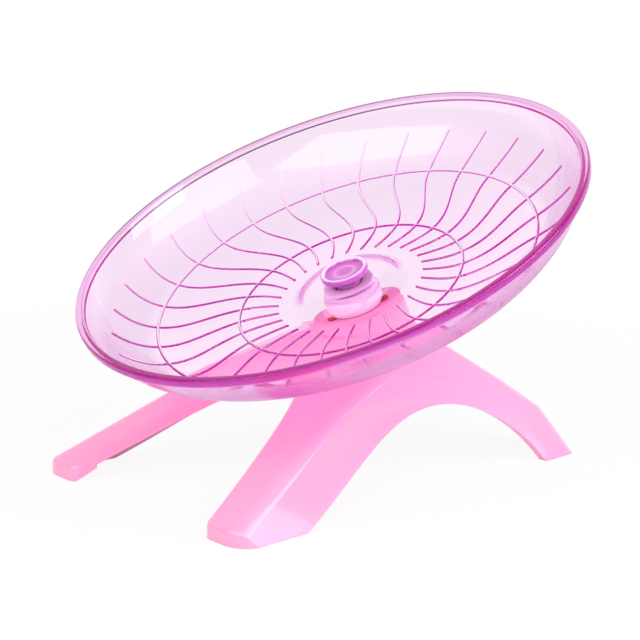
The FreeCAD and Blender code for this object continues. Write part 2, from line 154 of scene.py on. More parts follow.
def new_object(name: str, vertices: np.ndarray, faces: list, crease_deg: float = 30.0) -> bpy.types.Object:
    """Smooth object at the origin from vertices in metres, facing outward and creased past an angle."""
    mesh = bpy.data.meshes.new(name)
    mesh.from_pydata(vertices.tolist(), [], faces)
    shell = bmesh.new()
    shell.from_mesh(mesh)
    bmesh.ops.recalc_face_normals(shell, faces=shell.faces)
    shell.to_mesh(mesh)
    shell.free()
    mesh.shade_smooth()
    mesh.set_sharp_from_angle(angle=math.radians(crease_deg))
    obj = bpy.data.objects.new(name, mesh)
    bpy.context.scene.collection.objects.link(obj)
    return obj


@dataclass(frozen=True)
class HubFrame:
    """Tilted frame of the hub: its x is the part's x, and its z is the spin axis."""

    tilt_deg: float = 25.4
    rim_height: float = 83.7
    on_axis: float = 1e-6

    def place(self, points: np.ndarray) -> np.ndarray:
        """Points of the hub's frame, turned about x and raised into the part's frame, in metres."""
        tilt = math.radians(self.tilt_deg)
        x, y, z = points[..., 0], points[..., 1], points[..., 2]
        across = y * math.cos(tilt) - z * math.sin(tilt)
        height = y * math.sin(tilt) + z * math.cos(tilt) + self.rim_height
        return np.stack([x, across, height], -1) * MM

    def lathe(self, name: str, profile: np.ndarray, columns: int, crease_deg: float) -> bpy.types.Object:
        """Piece turned from a profile of (radius, level) points round the spin axis.

        A profile that starts and ends on the axis is closed there on poles; any other is a closed loop.
        """
        poled = profile[0, 0] < self.on_axis and profile[-1, 0] < self.on_axis
        ring = profile[1:-1] if poled else profile
        points = turned_grid(ring, columns).reshape(-1, 3)
        faces = grid_faces(len(ring), columns, not poled).tolist()
        if poled:
            count = len(points)
            poles = np.array([[0, 0, profile[0, 1]], [0, 0, profile[-1, 1]]])
            points = np.concatenate([points, poles])
            faces += pole_faces(0, columns, count, True).tolist()
            faces += pole_faces(len(ring) - 1, columns, count + 1, False).tolist()
        return new_object(name, self.place(points), faces, crease_deg)


# Finishes

# Places of the sockets of a Mix node: two numbers, two colours and the colour that comes out
MIX_NUMBERS = (2, 3)
MIX_COLOURS = (6, 7)
MIX_COLOUR_OUT = 2
COAT_ROUGHNESS = 0.04
METAL_DRIFT = 0.86
METAL_PATCH = 8
METAL_GRAIN = 0.01 * MM


class Nodes:
    """A node tree with short calls that add nodes and link them."""

    def __init__(self, tree: bpy.types.NodeTree) -> None:
        """Keeps the tree and empties it."""
        self.tree = tree
        tree.nodes.clear()

    def add(self, kind: str, terms: dict | None = None, **values: object) -> bpy.types.Node:
        """New node with its properties and inputs.

        Args:
            kind: Blender's node type.
            terms: input name or number to the output socket that feeds it, or to its plain value.
            values: node properties, or input values where the name is an input with _ for spaces.

        Returns:
            The new node.
        """
        node = self.tree.nodes.new(kind)
        for key, value in values.items():
            name = key.replace("_", " ")
            if name in node.inputs:
                node.inputs[name].default_value = value
            else:
                setattr(node, key, value)
        for key, term in (terms or {}).items():
            if isinstance(term, bpy.types.NodeSocket):
                self.tree.links.new(term, node.inputs[key])
            else:
                node.inputs[key].default_value = term
        return node

    def calc(self, operation: str, *terms: object) -> bpy.types.NodeSocket:
        """Output of a Math node whose terms are sockets or plain numbers."""
        return self.add("ShaderNodeMath", dict(enumerate(terms)), operation=operation).outputs[0]

    def blend(self, factor: bpy.types.NodeSocket, first: object, second: Tone) -> bpy.types.NodeSocket:
        """Colour part of the way from a tone or a socket's colour to a second tone."""
        start = first if isinstance(first, bpy.types.NodeSocket) else (*first, 1)
        terms = {"Factor": factor, MIX_COLOURS[0]: start, MIX_COLOURS[1]: (*second, 1)}
        return self.add("ShaderNodeMix", terms, data_type="RGBA").outputs[MIX_COLOUR_OUT]


def new_material(name: str) -> tuple[bpy.types.Material, Nodes]:
    """New material and its emptied node tree."""
    material = bpy.data.materials.new(name)
    material.use_nodes = True
    return material, Nodes(material.node_tree)


@dataclass(frozen=True)
class MouldedSkin:
    """Node group of a moulded surface: slow flow marks and a fine grain, from noise in object space."""

    name: str = "moulded_skin"
    flow_detail: float = 2.0
    grain_detail: float = 4.0
    noise_mean: float = 0.5

    def group(self) -> bpy.types.NodeTree:
        """The group, made at its first use.

        Returns:
            Node group with the inputs and outputs below; its roughness swings with the grain.
        """
        found = bpy.data.node_groups.get(self.name)
        if found is not None:
            return found
        tree = bpy.data.node_groups.new(self.name, "ShaderNodeTree")
        for label in ("Flow Scale", "Grain Scale", "Roughness", "Roughness Swing"):
            tree.interface.new_socket(label, in_out="INPUT", socket_type="NodeSocketFloat")
        for label in ("Flow", "Grain", "Roughness"):
            tree.interface.new_socket(label, in_out="OUTPUT", socket_type="NodeSocketFloat")
        nodes = Nodes(tree)
        given = nodes.add("NodeGroupInput").outputs
        place = nodes.add("ShaderNodeTexCoord").outputs["Object"]
        flow = nodes.add("ShaderNodeTexNoise", {"Vector": place, "Scale": given["Flow Scale"]},
                         Detail=self.flow_detail).outputs["Fac"]
        grain = nodes.add("ShaderNodeTexNoise", {"Vector": place, "Scale": given["Grain Scale"]},
                          Detail=self.grain_detail).outputs["Fac"]
        centred = nodes.calc("SUBTRACT", grain, self.noise_mean)
        rough = nodes.calc("MULTIPLY_ADD", centred, given["Roughness Swing"], given["Roughness"])
        nodes.add("NodeGroupOutput", {"Flow": flow, "Grain": grain, "Roughness": rough})
        return tree

    def place(self, nodes: Nodes, **values: float) -> bpy.types.Node:
        """The group as a node of a material, with the material's own values."""
        return nodes.add("ShaderNodeGroup", node_tree=self.group(), **values)


SKIN = MouldedSkin()


@dataclass(frozen=True)
class ClearTint:
    """Clear plastic with a magenta body: it darkens with the length of plastic that light passes."""

    name: str
    absorption: Tone
    ior: float
    roughness: float
    shadow: Tone
    flow_scale: float
    flow_depth: float
    haze: float
    # Tone of the painted shade on the bead and outer wall
    painted_shade: Tone

    def material(self) -> bpy.types.Material:
        """Principled glass with Volume Absorption, and a tinted clear shader for rays from the lamps.

        Absorption is given per metre in each colour; the node's density is the largest of the three, and
        its colour one less each share of it. The piece's attribute "satin" spreads a haze where it is
        above zero, and its second attribute spreads painted shade: a stronger magenta tint on front faces
        that stands in for the darker look of light's long path through the plastic.

        Returns:
            The material.
        """
        material, nodes = new_material(self.name)
        flow = SKIN.place(nodes, Flow_Scale=self.flow_scale).outputs["Flow"]
        bump = nodes.add("ShaderNodeBump", {"Height": flow}, Strength=1.0, Distance=self.flow_depth)
        satin = nodes.add("ShaderNodeAttribute", attribute_name="satin").outputs["Fac"]
        rough = nodes.add("ShaderNodeMapRange", {"Value": satin}, To_Min=self.roughness, To_Max=self.haze)
        painted_shade = nodes.add("ShaderNodeAttribute", attribute_name="painted_shade").outputs["Fac"]
        leaving = nodes.add("ShaderNodeNewGeometry").outputs["Backfacing"]
        # Painted shade: the second attribute's share of a deeper magenta tint, on front faces only, for the
        # dark look of the bead and wall
        painted_shade_front = nodes.calc("MULTIPLY", painted_shade, nodes.calc("SUBTRACT", 1.0, leaving))
        colour = nodes.blend(painted_shade_front, WHITE, self.painted_shade)
        surface = {"Base Color": colour, "Normal": bump.outputs[0], "Roughness": rough.outputs[0]}
        body = nodes.add("ShaderNodeBsdfPrincipled", surface, IOR=self.ior, Transmission_Weight=1.0)
        clear = nodes.add("ShaderNodeBsdfTransparent", Color=(*self.shadow, 1))
        shadow = nodes.add("ShaderNodeLightPath").outputs["Is Shadow Ray"]
        mix = nodes.add("ShaderNodeMixShader", {0: shadow, 1: body.outputs[0], 2: clear.outputs[0]})
        density = max(self.absorption)
        tint = tuple(1 - share / density for share in self.absorption)
        inside = nodes.add("ShaderNodeVolumeAbsorption", Color=(*tint, 1), Density=density)
        nodes.add("ShaderNodeOutputMaterial", {"Surface": mix.outputs[0], "Volume": inside.outputs[0]})
        return material


@dataclass(frozen=True)
class Opaque:
    """Opaque plastic, rubber or metal: two close tones that drift along the flow, and a fine grain."""

    name: str
    tone: Tone
    drift: Tone
    roughness: float
    swing: float
    flow_scale: float
    grain_scale: float
    grain_depth: float
    coat: float = 0.0
    metallic: float = 0.0

    def material(self) -> bpy.types.Material:
        """Principled material whose colour, roughness and bump come from the moulded skin."""
        material, nodes = new_material(self.name)
        skin = SKIN.place(nodes, Flow_Scale=self.flow_scale, Grain_Scale=self.grain_scale,
                          Roughness=self.roughness, Roughness_Swing=self.swing).outputs
        colour = nodes.blend(skin["Flow"], self.tone, self.drift)
        bump = nodes.add("ShaderNodeBump", {"Height": skin["Grain"]}, Strength=1.0,
                         Distance=self.grain_depth)
        surface = {"Base Color": colour, "Normal": bump.outputs[0], "Roughness": skin["Roughness"]}
        body = nodes.add("ShaderNodeBsdfPrincipled", surface, Metallic=self.metallic,
                         Coat_Weight=self.coat, Coat_Roughness=COAT_ROUGHNESS)
        nodes.add("ShaderNodeOutputMaterial", {"Surface": body.outputs[0]})
        return material


def ground_metal(name: str, tone: Tone, roughness: float, swing: float, grain_scale: float) -> Opaque:
    """Turned or ground metal: its tone drifts a little darker in patches larger than its grain."""
    drift = tuple(METAL_DRIFT * share for share in tone)
    return Opaque(name, tone, drift, roughness, swing, grain_scale / METAL_PATCH, grain_scale, METAL_GRAIN,
                  metallic=1.0)


@dataclass(frozen=True)
class HubPlace:
    """Node group that gives a point's distance from the spin axis and its level along it, in millimetres."""

    hub: HubFrame
    name: str = "hub_place"

    def group(self) -> bpy.types.NodeTree:
        """The group: Level is the dot product with the axis, and Distance the cross product's length."""
        tree = bpy.data.node_groups.new(self.name, "ShaderNodeTree")
        for label in ("Distance", "Level"):
            tree.interface.new_socket(label, in_out="OUTPUT", socket_type="NodeSocketFloat")
        nodes = Nodes(tree)
        tilt = math.radians(self.hub.tilt_deg)
        axis = (0, -math.sin(tilt), math.cos(tilt))
        rim = (0, 0, self.hub.rim_height)
        place = nodes.add("ShaderNodeTexCoord").outputs["Object"]
        scaled = nodes.add("ShaderNodeVectorMath", {0: place}, operation="SCALE", Scale=1 / MM).outputs[0]
        local = nodes.add("ShaderNodeVectorMath", {0: scaled, 1: rim}, operation="SUBTRACT").outputs[0]
        level = nodes.add("ShaderNodeVectorMath", {0: local, 1: axis}, operation="DOT_PRODUCT")
        across = nodes.add("ShaderNodeVectorMath", {0: local, 1: axis}, operation="CROSS_PRODUCT")
        distance = nodes.add("ShaderNodeVectorMath", {0: across.outputs[0]}, operation="LENGTH")
        nodes.add("NodeGroupOutput", {"Distance": distance.outputs["Value"],
                                      "Level": level.outputs["Value"]})
        return tree


@dataclass(frozen=True)
class CapPlastic:
    """Milky magenta plastic of a turned cap, in rings of tone round its axis: a pale lip ring that is a
    painted highlight, a lighter ring that is the stem painted showing through, and a paler neck and stem
    that are painted light in place of the shade under the cap.
    """

    name: str
    hub: HubFrame
    # Pale tone painted on the neck, the cap's underside and the stem below the level that follows: painted
    # light in place of the shade under the cap
    neck: Tone
    painted_light_level: float
    roughness: float
    swing: float
    coat: float
    flow_scale: float
    grain_scale: float
    swirl: float
    milk: float
    milk_depth: float
    # Distances from the axis and tones: the cap's own tones, with a painted highlight on the lip and a
    # lighter ring painted where the stem shows through
    tone_and_painted_light_bands: tuple[tuple[float, Tone], ...]
    reach: float = 10.0

    def material(self) -> bpy.types.Material:
        """Principled plastic whose colour is a ramp over the distance from the axis, stirred by the flow."""
        material, nodes = new_material(self.name)
        place = nodes.add("ShaderNodeGroup", node_tree=HubPlace(self.hub).group()).outputs
        skin = SKIN.place(nodes, Flow_Scale=self.flow_scale, Grain_Scale=self.grain_scale,
                          Roughness=self.roughness, Roughness_Swing=self.swing).outputs
        stirred = nodes.calc("MULTIPLY_ADD", skin["Flow"], self.swirl, place["Distance"])
        share = nodes.add("ShaderNodeMapRange", {"Value": stirred}, From_Min=self.swirl / 2,
                          From_Max=self.reach + self.swirl / 2)
        # Rings of the cap's own tones, a little darker towards the disc's edge, with a painted highlight on
        # the lip and a lighter ring painted where the stem shows through
        rings = nodes.add("ShaderNodeValToRGB", {"Fac": share.outputs[0]})
        ramp = rings.color_ramp.elements
        ramp.remove(ramp[-1])
        for i, (distance, tone) in enumerate(self.tone_and_painted_light_bands):
            stop = ramp[0] if i == 0 else ramp.new(distance / self.reach)
            stop.color = (*tone, 1)
        # Painted light: below this level the neck, the cap's underside and the stem take the pale tone in
        # place of the shade under the cap
        below = nodes.calc("LESS_THAN", place["Level"], self.painted_light_level)
        colour = nodes.blend(below, rings.outputs["Color"], self.neck)
        surface = {"Base Color": colour, "Roughness": skin["Roughness"]}
        body = nodes.add("ShaderNodeBsdfPrincipled", surface, Coat_Weight=self.coat,
                         Coat_Roughness=COAT_ROUGHNESS, Subsurface_Weight=self.milk,
                         Subsurface_Scale=self.milk_depth)
        nodes.add("ShaderNodeOutputMaterial", {"Surface": body.outputs[0]})
        return material


# The last tone is painted shade: a deeper magenta laid on the bead and outer wall for the dark look of
# light's long path through them
CLEAR_MAGENTA = ClearTint("clear_magenta_plastic", absorption=(2.0, 92.0, 7.0), ior=1.5, roughness=0.0,
                          shadow=(0.96, 0.84, 0.95), flow_scale=45.0, flow_depth=0.006 * MM, haze=0.32,
                          painted_shade=(0.72, 0.24, 0.56))
# Painted light in the cap: the pale neck tone below its level stands in for light in the shade under the
# cap, the lighter band at 3.6 mm for the stem showing through, and the pale bands at 7.1 and 7.8 mm are a
# painted highlight on the lip
CAP_MAGENTA = CapPlastic("milky_magenta_plastic", HubFrame(), neck=(0.9, 0.68, 0.88), painted_light_level=-20.7,
                         roughness=0.12, swing=0.04, coat=0.8, flow_scale=90.0, grain_scale=900.0,
                         swirl=0.5, milk=0.35, milk_depth=2 * MM,
                         tone_and_painted_light_bands=((0.0, (0.62, 0.10, 0.56)), (2.4, (0.62, 0.10, 0.56)),
                                (3.6, (0.78, 0.27, 0.74)), (4.6, (0.62, 0.09, 0.55)),
                                (6.6, (0.56, 0.05, 0.48)), (7.1, (0.97, 0.74, 0.96)),
                                (7.8, (0.95, 0.66, 0.95)), (8.2, (0.66, 0.16, 0.68))))
PINK_GLOSS = Opaque("pink_gloss_plastic", tone=(1.0, 0.36, 0.60), drift=(1.0, 0.40, 0.63), roughness=0.2,
                    swing=0.08, coat=0.35, flow_scale=18.0, grain_scale=900.0, grain_depth=0.004 * MM)
PALE_SATIN = Opaque("pale_satin_plastic", tone=(0.96, 0.92, 0.945), drift=(0.98, 0.95, 0.965),
                    roughness=0.32, swing=0.1, coat=0.15, flow_scale=60.0, grain_scale=1200.0,
                    grain_depth=0.004 * MM)
CRIMSON = Opaque("crimson_rubber", tone=(0.62, 0.006, 0.05), drift=(0.54, 0.005, 0.04), roughness=0.6,
                 swing=0.12, flow_scale=120.0, grain_scale=1500.0, grain_depth=0.01 * MM)
CAGE = Opaque("cage_nylon", tone=(0.8, 0.76, 0.66), drift=(0.74, 0.7, 0.6), roughness=0.5, swing=0.1,
              flow_scale=150.0, grain_scale=1500.0, grain_depth=0.008 * MM)
STEEL = ground_metal("ground_steel", (0.66, 0.67, 0.69), roughness=0.3, swing=0.14, grain_scale=1600.0)
BALL_STEEL = ground_metal("polished_ball_steel", (0.8, 0.81, 0.83), roughness=0.1, swing=0.05,
                          grain_scale=1200.0)
TURNED_ALUMINIUM = ground_metal("turned_aluminium", (0.8, 0.8, 0.82), roughness=0.34, swing=0.16,
                                grain_scale=1400.0)
Finish = ClearTint | CapPlastic | Opaque


def finish_piece(obj: bpy.types.Object, material: bpy.types.Material) -> None:
    """Gives a piece or a carried-over node its one material."""
    obj.data.materials.clear()
    obj.data.materials.append(material)


def put_in_place(piece: bpy.types.Object, finish: Finish, body: Body, node: str) -> None:
    """Gives a new piece its finish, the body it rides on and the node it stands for."""
    finish_piece(piece, finish.material())
    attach(piece, body.value)
    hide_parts(node)
    LOG.info("%s: %d faces", piece.name, len(piece.data.polygons))


# The dish

# Places of columns across a rib, and of rows across a ring rib, in half widths
ACROSS = np.array([-1.6, -1.2, -1.0, -0.85, -0.6, -0.3, 0, 0.3, 0.6, 0.85, 1.0, 1.2, 1.6])
FINE = np.array([-1.25, -1.0, -0.85, -0.6, -0.3, 0, 0.3, 0.6, 0.85, 1.0, 1.25])


@dataclass
class RunningDish:
    """Clear running dish: bowl, rim bead, raised crown, wavy tread ribs and two ring ribs."""

    hub: HubFrame
    rim_radius: float = 90.0
    wall: float = 2.0
    depth: float = 26.4
    flat_radius: float = 33.8
    sweep_radius: float = 95.2
    knee_radius: float = 67.6
    bead_height: float = 3.0
    bead_width: float = 2.6
    bead_round: float = 0.8
    mouth_round: float = 0.64
    mouth_step: float = 0.25
    neck_room: float = 0.4
    crown_rise: float = 4.4
    crown_ring: float = 9.0
    crown_radius: float = 15.4
    crown_foot: float = 19.8
    crown_round: float = 6.0
    foot_round: float = 6.0
    bore: float = 4.1
    boss_radius: float = 4.9
    boss_length: float = 2.2
    rib_count: int = 30
    rib_width: float = 1.0
    rib_height: float = 0.6
    rib_inner: float = 26.3
    rib_back: float = 38.0
    rib_front: float = 66.0
    rib_outer: float = 80.6
    rib_phase_deg: float = 1.35
    rib_root_deg: float = 4.7
    rib_swing_deg: float = 9.5
    rib_tail_deg: float = 3.3
    rib_margin: float = 1.0
    round_power: float = 2.4
    ring_radii: tuple[float, ...] = (40.0, 67.6)
    ring_width: float = 1.0
    ring_height: float = 0.6
    row_step: float = 1.0
    row_room: float = 0.3
    first_step: float = 0.6
    under_step: float = 1.2
    gap_steps: int = 5
    side_rows: int = 15
    under_rows: tuple[int, int, int] = (5, 15, 19)
    arc_steps: int = 12
    bead_steps: int = 5
    crease_deg: float = 38.0
    satin_run: float = 5.0
    satin_edge: float = 4.0
    # Shares of painted shade on the bead and on the outer wall, for their darker look from light's long path
    # through the plastic
    bead_painted_shade: float = 0.6
    wall_painted_shade: float = 0.42

    def __post_init__(self) -> None:
        """Works out the tangent side arc from the knee to the mouth, and the mouth's radius."""
        self.lean = math.asin((self.knee_radius - self.flat_radius) / self.sweep_radius)
        knee_level = -self.depth + self.sweep_radius * (1 - math.cos(self.lean))
        run, rise = self.rim_radius - self.bead_width - self.knee_radius, -knee_level
        half = math.atan2(rise, run) - self.lean
        self.side_radius = math.hypot(run, rise) / (2 * math.sin(half))
        self.side_centre = (self.knee_radius - self.side_radius * math.sin(self.lean),
                            knee_level + self.side_radius * math.cos(self.lean))
        mouth_lean = math.acos((self.side_centre[1] + self.bead_round) / self.side_radius)
        self.mouth = self.side_centre[0] + self.side_radius * math.sin(mouth_lean)

    def bowl(self, radius: np.ndarray, below: float) -> tuple[np.ndarray, np.ndarray]:
        """Bowl section below the running face: the flat, then the sweep arc, then the tighter side arc.

        Args:
            radius: radii on the running face.
            below: depth under the running face, measured square to it.

        Returns:
            Points (radius, level) and the lean of the face at each.
        """
        on_sweep = np.arcsin(np.clip((radius - self.flat_radius) / self.sweep_radius, 0, 1))
        on_side = np.arcsin(np.clip((radius - self.side_centre[0]) / self.side_radius, -1, 1))
        side = radius > self.knee_radius
        lean = np.where(side, on_side, on_sweep)
        sweep_level = -self.depth + self.sweep_radius * (1 - np.cos(on_sweep))
        side_level = self.side_centre[1] - self.side_radius * np.cos(on_side)
        level = np.where(side, side_level, sweep_level)
        return np.stack([radius + below * np.sin(lean), level - below * np.cos(lean)], 1), lean

    def rib_angle(self, radius: np.ndarray) -> np.ndarray:
        """Angle of the first rib's spine: a parabola, half a cosine wave and a parabola, root to tail."""
        root = self.rib_root_deg * ((self.rib_back - radius) / (self.rib_back - self.rib_inner)) ** 2
        swing = (radius - self.rib_back) / (self.rib_front - self.rib_back)
        wave = self.rib_swing_deg * (1 - np.cos(math.pi * swing)) / 2
        tail = (radius - self.rib_front) / (self.rib_outer - self.rib_front)
        trail = self.rib_swing_deg - self.rib_tail_deg * tail ** 2
        turn = np.where(radius < self.rib_back, root, np.where(radius < self.rib_front, wave, trail))
        return np.radians(self.rib_phase_deg + turn)

    def angles(self, radius: np.ndarray) -> tuple[np.ndarray, np.ndarray]:
        """Angle of every column at every radius; columns follow the ribs, so each rib has its own even set.

        One rib's pitch holds the columns across the rib, whose half width grows with the slope of its
        spine, and then even shares of the gap to the next rib.

        Args:
            radius: radius of each row.

        Returns:
            Angles of shape (rows, columns), and each column's place across its rib in half widths.
        """
        between = np.linspace(0, 1, self.gap_steps)[1:-1]
        held = np.clip(radius, self.rib_inner - self.rib_margin, self.rib_outer + self.rib_margin)
        step = 0.01
        slope = held * (self.rib_angle(held + step) - self.rib_angle(held - step)) / (2 * step)
        half = (self.rib_width / 2) * np.sqrt(1 + slope ** 2) / held
        pitch = TURN / self.rib_count
        on_rib = half[:, None] * ACROSS[None, :]
        edge = half * ACROSS[-1]
        in_gap = edge[:, None] + (pitch - 2 * edge)[:, None] * between[None, :]
        one = self.rib_angle(held)[:, None] + np.concatenate([on_rib, in_gap], 1)
        starts = pitch * np.arange(self.rib_count)
        angles = (one[:, None, :] + starts[None, :, None]).reshape(len(radius), -1)
        place = np.tile(np.concatenate([ACROSS, np.full(len(between), ACROSS[-1])]), self.rib_count)
        return angles, place

    def tread(self, radius: np.ndarray, place: np.ndarray) -> np.ndarray:
        """Height of the ribs over the bowl: rounded bars of even width with round ends, and rounded rings.

        A section's height is the full height x the root of one less its place to the rounding power.

        Args:
            radius: radius of each row.
            place: each column's place across its rib in half widths.

        Returns:
            Heights of shape (rows, columns).
        """
        half = self.rib_width / 2
        past = np.maximum(np.maximum(self.rib_inner - radius, radius - self.rib_outer), 0) / half
        off = np.hypot(place[None, :], past[:, None])
        rib = self.rib_height * np.sqrt(np.clip(1 - off ** self.round_power, 0, 1))
        ring = np.zeros_like(radius)
        for centre in self.ring_radii:
            away = np.abs(radius - centre) / (self.ring_width / 2)
            bar = self.ring_height * np.sqrt(np.clip(1 - away ** self.round_power, 0, 1))
            ring = np.maximum(ring, bar)
        return np.maximum(rib, ring[:, None])

    def tread_rows(self, start: float) -> np.ndarray:
        """Radii of the rows of the running face, closer together at the ring ribs and at the ribs' ends."""
        floor = np.arange(start, self.knee_radius, self.row_step)
        mouth_lean = math.asin((self.mouth - self.side_centre[0]) / self.side_radius)
        lean = np.linspace(self.lean, mouth_lean, self.side_rows)
        side = self.side_centre[0] + self.side_radius * np.sin(lean)
        rings = (np.array(self.ring_radii)[:, None] + FINE * self.ring_width / 2).ravel()
        end = FINE[FINE >= 0] * self.rib_width / 2
        exact = np.concatenate([rings, self.rib_inner - end, self.rib_outer + end])
        loose = np.concatenate([floor, side[1:-1]])
        clear = np.abs(loose[:, None] - exact[None, :]).min(1) > self.row_room
        return np.unique(np.concatenate([[start], loose[clear], exact, [self.mouth]]))

    def crown(self) -> tuple[np.ndarray, np.ndarray]:
        """Profiles of the crown: its top from the bore out, and its underside from the flat in.

        The underside's corners are shifted in so that the wall stays even round both bends.
        """
        level = -self.depth + self.crown_rise
        slope = math.atan2(self.crown_rise, self.crown_foot - self.crown_radius)
        shift = self.wall * (1 - math.cos(slope)) / math.sin(slope)
        top = rounded_profile([(self.bore, level, 0),
                               (self.crown_radius, level, self.crown_round + self.wall),
                               (self.crown_foot, -self.depth, self.foot_round),
                               (self.flat_radius, -self.depth, 0)], self.arc_steps)
        under, crown_under = -self.depth - self.wall, level - self.wall
        boss_end = crown_under - self.boss_length
        foot = rounded_profile([(self.flat_radius, under, 0),
                                (self.crown_foot - shift, under, self.foot_round + self.wall),
                                (self.crown_radius - shift, crown_under, self.crown_round),
                                (self.boss_radius, crown_under, 0), (self.boss_radius, boss_end, 0),
                                (self.bore, boss_end, 0)], self.arc_steps)
        return np.insert(top[:-1], 1, [[self.crown_ring, level]], 0), foot[1:]

    def outside(self) -> tuple[np.ndarray, np.ndarray]:
        """Profile of the outside wall from the flat out, and the point where it runs into the bead."""
        ends = (self.crown_foot + self.under_step, self.flat_radius, self.knee_radius, self.mouth)
        rows = np.concatenate([np.linspace(first, last, count)[1:]
                               for first, last, count in zip(ends, ends[1:], self.under_rows)])
        wall, lean = self.bowl(rows, self.wall)
        wall = wall[wall[:, 1] < -self.bead_height - self.neck_room]
        rise = float(lean[len(wall)])
        along = np.array([math.cos(rise), math.sin(rise)])
        return wall, wall[-1] + along * (-self.bead_height - wall[-1, 1]) / math.sin(rise)

    def build(self) -> bpy.types.Object:
        """The dish as one closed grid: rows go over the running face, round the bead and back underneath.

        The attribute "satin" is a share of haze on the outside wall, and the second attribute a share of
        painted shade: a stronger tint on the bead and outer wall for the darker look of light's long path.

        Returns:
            The dish's object.
        """
        top, foot = self.crown()
        rows = self.tread_rows(top[-1, 0] + self.first_step)
        face, lean = self.bowl(rows, 0.0)
        wall, neck = self.outside()
        back = wall[::-1]
        bead = rounded_profile([(self.mouth, face[-1, 1], 0),
                                (face[-1, 0] + self.mouth_step, 0, self.mouth_round),
                                (self.rim_radius, 0, self.bead_round),
                                (self.rim_radius, -self.bead_height, self.bead_round),
                                (neck[0], neck[1], 0)], self.bead_steps)[1:]
        profile = np.concatenate([top, face, bead, back, foot])
        on_face = slice(len(top), len(top) + len(face))
        on_bead = slice(on_face.stop, on_face.stop + len(bead))
        on_back = slice(on_bead.stop, on_bead.stop + len(back))
        angles, place = self.angles(profile[:, 0])
        lift = np.zeros_like(angles)
        lift[on_face] = self.tread(rows, place)
        steep = np.zeros(len(profile))
        steep[on_face] = lean
        radius = profile[:, :1] - lift * np.sin(steep)[:, None]
        level = profile[:, 1:] + lift * np.cos(steep)[:, None]
        points = np.stack([radius * np.cos(angles), radius * np.sin(angles), level], -1)
        faces = grid_faces(*angles.shape, True).tolist()
        dish = new_object("saucer_dish", self.hub.place(points.reshape(-1, 3)), faces, self.crease_deg)
        risen, left = back[:, 0] - self.knee_radius, back[0, 0] - back[:, 0]
        satin, painted_shade = np.zeros(len(profile)), np.zeros(len(profile))
        satin[on_back] = np.clip(np.minimum(risen / self.satin_run, left / self.satin_edge), 0, 1)
        # Painted shade: a deeper tint on the bead, and rising up the outer wall
        painted_shade[on_bead] = self.bead_painted_shade
        painted_shade[on_back] = self.wall_painted_shade * np.clip(risen / self.satin_run, 0, 1)
        for label, share in (("satin", satin), ("painted_shade", painted_shade)):
            layer = dish.data.attributes.new(label, "FLOAT", "POINT")
            layer.data.foreach_set("value", np.repeat(share, angles.shape[1]))
        return dish

    def dress(self) -> None:
        """Builds the dish, gives it its clear finish and puts it in place of its node."""
        put_in_place(self.build(), CLEAR_MAGENTA, Body.SAUCER, "saucer")


# The hub


